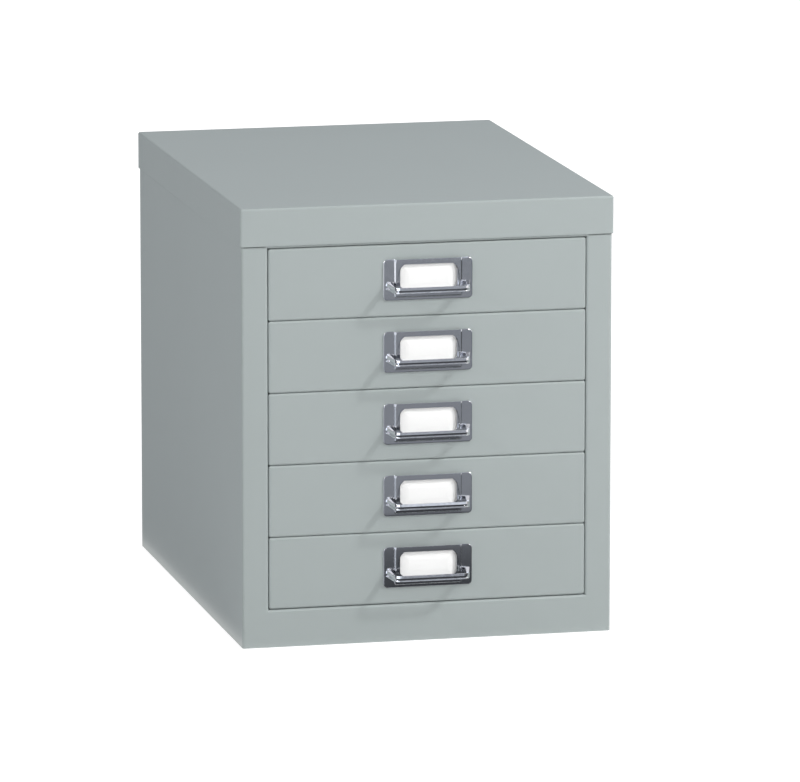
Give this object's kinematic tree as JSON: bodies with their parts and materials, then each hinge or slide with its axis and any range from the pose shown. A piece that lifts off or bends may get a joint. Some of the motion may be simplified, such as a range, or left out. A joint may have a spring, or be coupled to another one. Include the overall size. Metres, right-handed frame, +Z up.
{
  "type": "desktop drawer cabinet",
  "caption": "Desktop multidrawer cabinet in folded sheet steel: capped box with shallow full-width drawers that slide out, each with a chrome label holder and pull.",
  "frame": {"origin": "on the surface it stands on, under the middle of the whole outline, handles included", "axes": "+X to the right seen from the front, +Y to the back, +Z up; the drawers open along -Y"},
  "size_m": [0.279, 0.3956, 0.325],
  "materials": {
    "paint": "goose grey powder coat, satin, very fine texture",
    "chrome": "bright chrome plating on a smooth casting",
    "card": "uncoated white card, blank",
    "screw_steel": "zinc-plated steel screws"
  },
  "bodies": {
    "cabinet": {"lid": "paint", "left_side": "paint", "right_side": "paint", "back_panel": "paint", "base_pan": "paint", "bottom_rail": "paint", "top_rail": "paint", "left_rear_post": "paint", "right_rear_post": "paint", "left_top_guide": "paint", "right_top_guide": "paint", "left_runner_1": "paint", "right_runner_1": "paint", "left_runner_2": "paint", "right_runner_2": "paint", "left_runner_3": "paint", "right_runner_3": "paint", "left_runner_4": "paint", "right_runner_4": "paint", "left_runner_5": "paint", "right_runner_5": "paint"},
    "drawer_1": {"drawer_tray_1": "paint", "drawer_front_1": "paint", "pull_handle_1": "chrome", "label_card_1": "card", "handle_screws_1": "screw_steel"},
    "drawer_2": {"drawer_tray_2": "paint", "drawer_front_2": "paint", "pull_handle_2": "chrome", "label_card_2": "card", "handle_screws_2": "screw_steel"},
    "drawer_3": {"drawer_tray_3": "paint", "drawer_front_3": "paint", "pull_handle_3": "chrome", "label_card_3": "card", "handle_screws_3": "screw_steel"},
    "drawer_4": {"drawer_tray_4": "paint", "drawer_front_4": "paint", "pull_handle_4": "chrome", "label_card_4": "card", "handle_screws_4": "screw_steel"},
    "drawer_5": {"drawer_tray_5": "paint", "drawer_front_5": "paint", "pull_handle_5": "chrome", "label_card_5": "card", "handle_screws_5": "screw_steel"}
  },
  "joints": [
    {"name": "drawer_slide_1", "type": "slide", "parent": "cabinet", "child": "drawer_1", "axis": [0, -1, 0], "range_m": [0, 0.28]},
    {"name": "drawer_slide_2", "type": "slide", "parent": "cabinet", "child": "drawer_2", "axis": [0, -1, 0], "range_m": [0, 0.28]},
    {"name": "drawer_slide_3", "type": "slide", "parent": "cabinet", "child": "drawer_3", "axis": [0, -1, 0], "range_m": [0, 0.28]},
    {"name": "drawer_slide_4", "type": "slide", "parent": "cabinet", "child": "drawer_4", "axis": [0, -1, 0], "range_m": [0, 0.28]},
    {"name": "drawer_slide_5", "type": "slide", "parent": "cabinet", "child": "drawer_5", "axis": [0, -1, 0], "range_m": [0, 0.28]}
  ]
}
